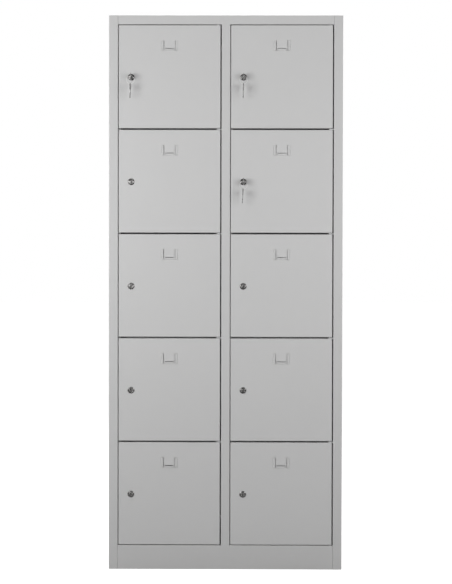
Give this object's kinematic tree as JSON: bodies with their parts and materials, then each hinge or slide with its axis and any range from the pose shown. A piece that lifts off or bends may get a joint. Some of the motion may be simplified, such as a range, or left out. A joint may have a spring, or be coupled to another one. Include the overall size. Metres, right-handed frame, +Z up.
{
  "type": "parcel locker",
  "caption": "Free-standing parcel locker of folded sheet steel: hinged compartment doors side by side in columns, each with a cam lock and a card holder, and keys in some of the locks.",
  "frame": {"origin": "centre of the footprint on the floor, with the keys' reach in front counted in it", "axes": "+Z up, the doors face -Y, +X to the right of someone facing the doors"},
  "size_m": [0.78, 0.5403, 1.85],
  "materials": {
    "cabinet_coat": "satin light-grey powder coat with a fine orange-peel",
    "door_coat": "satin light-grey powder coat with a fine orange-peel",
    "inner_coat": "matt light-grey powder coat, thinner inside",
    "hinge_zinc": "bright zinc plate",
    "lock_nickel": "polished nickel plate",
    "plug_steel": "nickel-plated plug and zinc-plated cam",
    "key_steel": "nickel-plated steel with rubbed faces",
    "ring_steel": "plated spring wire",
    "buffer_rubber": "matt black rubber"
  },
  "bodies": {
    "cabinet": {"side_panel_left": "cabinet_coat", "side_panel_right": "cabinet_coat", "top_panel": "cabinet_coat", "base_panel": "cabinet_coat", "back_panel": "inner_coat", "centre_partition": "cabinet_coat", "shelf_left_1": "inner_coat", "shelf_left_2": "inner_coat", "shelf_left_3": "inner_coat", "shelf_left_4": "inner_coat", "shelf_right_1": "inner_coat", "shelf_right_2": "inner_coat", "shelf_right_3": "inner_coat", "shelf_right_4": "inner_coat", "hinge_pin_left_1": "hinge_zinc", "hinge_pin_left_2": "hinge_zinc", "hinge_pin_left_3": "hinge_zinc", "hinge_pin_left_4": "hinge_zinc", "hinge_pin_right_1": "hinge_zinc", "hinge_pin_right_2": "hinge_zinc", "hinge_pin_right_3": "hinge_zinc", "hinge_pin_right_4": "hinge_zinc"},
    "door_left_1": {"door_left_1": "door_coat", "lock_housing_left_1": "lock_nickel"},
    "lock_left_1": {"lock_plug_left_1": "plug_steel", "key_left_1": "key_steel"},
    "keys_left_1": {"key_ring_left_1": "ring_steel"},
    "door_left_2": {"door_left_2": "door_coat", "lock_housing_left_2": "lock_nickel"},
    "lock_left_2": {"lock_plug_left_2": "plug_steel"},
    "door_left_3": {"door_left_3": "door_coat", "lock_housing_left_3": "lock_nickel"},
    "lock_left_3": {"lock_plug_left_3": "plug_steel"},
    "door_left_4": {"door_left_4": "door_coat", "lock_housing_left_4": "lock_nickel"},
    "lock_left_4": {"lock_plug_left_4": "plug_steel"},
    "door_left_5": {"door_left_5": "door_coat", "lock_housing_left_5": "lock_nickel"},
    "lock_left_5": {"lock_plug_left_5": "plug_steel"},
    "door_right_1": {"door_right_1": "door_coat", "lock_housing_right_1": "lock_nickel"},
    "lock_right_1": {"lock_plug_right_1": "plug_steel", "key_right_1": "key_steel"},
    "keys_right_1": {"key_ring_right_1": "ring_steel"},
    "door_right_2": {"door_right_2": "door_coat", "lock_housing_right_2": "lock_nickel"},
    "lock_right_2": {"lock_plug_right_2": "plug_steel", "key_right_2": "key_steel"},
    "keys_right_2": {"key_ring_right_2": "ring_steel"},
    "door_right_3": {"door_right_3": "door_coat", "lock_housing_right_3": "lock_nickel"},
    "lock_right_3": {"lock_plug_right_3": "plug_steel"},
    "door_right_4": {"door_right_4": "door_coat", "lock_housing_right_4": "lock_nickel"},
    "lock_right_4": {"lock_plug_right_4": "plug_steel"},
    "door_right_5": {"door_right_5": "door_coat", "lock_housing_right_5": "lock_nickel"},
    "lock_right_5": {"lock_plug_right_5": "plug_steel"}
  },
  "joints": [
    {"name": "door_left_1_hinge", "type": "hinge", "parent": "cabinet", "child": "door_left_1", "pos_m": [-0.0263, -0.22185, 1.64604], "axis": [0, 0, 1], "range_deg": [0, 105]},
    {"name": "lock_left_1_turn", "type": "hinge", "parent": "door_left_1", "child": "lock_left_1", "pos_m": [-0.3156, -0.22985, 1.64404], "axis": [0, 1, 0], "range_deg": [0, 90]},
    {"name": "keys_left_1_swing", "type": "hinge", "parent": "lock_left_1", "child": "keys_left_1", "pos_m": [-0.3156, -0.25815, 1.64404], "axis": [0, 1, 0], "range_deg": [-40, 40]},
    {"name": "door_left_2_hinge", "type": "hinge", "parent": "cabinet", "child": "door_left_2", "pos_m": [-0.0263, -0.22185, 1.29802], "axis": [0, 0, 1], "range_deg": [0, 105]},
    {"name": "lock_left_2_turn", "type": "hinge", "parent": "door_left_2", "child": "lock_left_2", "pos_m": [-0.3156, -0.22985, 1.29602], "axis": [0, 1, 0], "range_deg": [0, 90]},
    {"name": "door_left_3_hinge", "type": "hinge", "parent": "cabinet", "child": "door_left_3", "pos_m": [-0.0263, -0.22185, 0.95], "axis": [0, 0, 1], "range_deg": [0, 105]},
    {"name": "lock_left_3_turn", "type": "hinge", "parent": "door_left_3", "child": "lock_left_3", "pos_m": [-0.3156, -0.22985, 0.948], "axis": [0, 1, 0], "range_deg": [0, 90]},
    {"name": "door_left_4_hinge", "type": "hinge", "parent": "cabinet", "child": "door_left_4", "pos_m": [-0.0263, -0.22185, 0.60198], "axis": [0, 0, 1], "range_deg": [0, 105]},
    {"name": "lock_left_4_turn", "type": "hinge", "parent": "door_left_4", "child": "lock_left_4", "pos_m": [-0.3156, -0.22985, 0.59998], "axis": [0, 1, 0], "range_deg": [0, 90]},
    {"name": "door_left_5_hinge", "type": "hinge", "parent": "cabinet", "child": "door_left_5", "pos_m": [-0.0263, -0.22185, 0.25396], "axis": [0, 0, 1], "range_deg": [0, 105]},
    {"name": "lock_left_5_turn", "type": "hinge", "parent": "door_left_5", "child": "lock_left_5", "pos_m": [-0.3156, -0.22985, 0.25196], "axis": [0, 1, 0], "range_deg": [0, 90]},
    {"name": "door_right_1_hinge", "type": "hinge", "parent": "cabinet", "child": "door_right_1", "pos_m": [0.3482, -0.22185, 1.64604], "axis": [0, 0, 1], "range_deg": [0, 105]},
    {"name": "lock_right_1_turn", "type": "hinge", "parent": "door_right_1", "child": "lock_right_1", "pos_m": [0.0589, -0.22985, 1.64404], "axis": [0, 1, 0], "range_deg": [0, 90]},
    {"name": "keys_right_1_swing", "type": "hinge", "parent": "lock_right_1", "child": "keys_right_1", "pos_m": [0.0589, -0.25815, 1.64404], "axis": [0, 1, 0], "range_deg": [-40, 40]},
    {"name": "door_right_2_hinge", "type": "hinge", "parent": "cabinet", "child": "door_right_2", "pos_m": [0.3482, -0.22185, 1.29802], "axis": [0, 0, 1], "range_deg": [0, 105]},
    {"name": "lock_right_2_turn", "type": "hinge", "parent": "door_right_2", "child": "lock_right_2", "pos_m": [0.0589, -0.22985, 1.29602], "axis": [0, 1, 0], "range_deg": [0, 90]},
    {"name": "keys_right_2_swing", "type": "hinge", "parent": "lock_right_2", "child": "keys_right_2", "pos_m": [0.0589, -0.25815, 1.29602], "axis": [0, 1, 0], "range_deg": [-40, 40]},
    {"name": "door_right_3_hinge", "type": "hinge", "parent": "cabinet", "child": "door_right_3", "pos_m": [0.3482, -0.22185, 0.95], "axis": [0, 0, 1], "range_deg": [0, 105]},
    {"name": "lock_right_3_turn", "type": "hinge", "parent": "door_right_3", "child": "lock_right_3", "pos_m": [0.0589, -0.22985, 0.948], "axis": [0, 1, 0], "range_deg": [0, 90]},
    {"name": "door_right_4_hinge", "type": "hinge", "parent": "cabinet", "child": "door_right_4", "pos_m": [0.3482, -0.22185, 0.60198], "axis": [0, 0, 1], "range_deg": [0, 105]},
    {"name": "lock_right_4_turn", "type": "hinge", "parent": "door_right_4", "child": "lock_right_4", "pos_m": [0.0589, -0.22985, 0.59998], "axis": [0, 1, 0], "range_deg": [0, 90]},
    {"name": "door_right_5_hinge", "type": "hinge", "parent": "cabinet", "child": "door_right_5", "pos_m": [0.3482, -0.22185, 0.25396], "axis": [0, 0, 1], "range_deg": [0, 105]},
    {"name": "lock_right_5_turn", "type": "hinge", "parent": "door_right_5", "child": "lock_right_5", "pos_m": [0.0589, -0.22985, 0.25196], "axis": [0, 1, 0], "range_deg": [0, 90]}
  ]
}
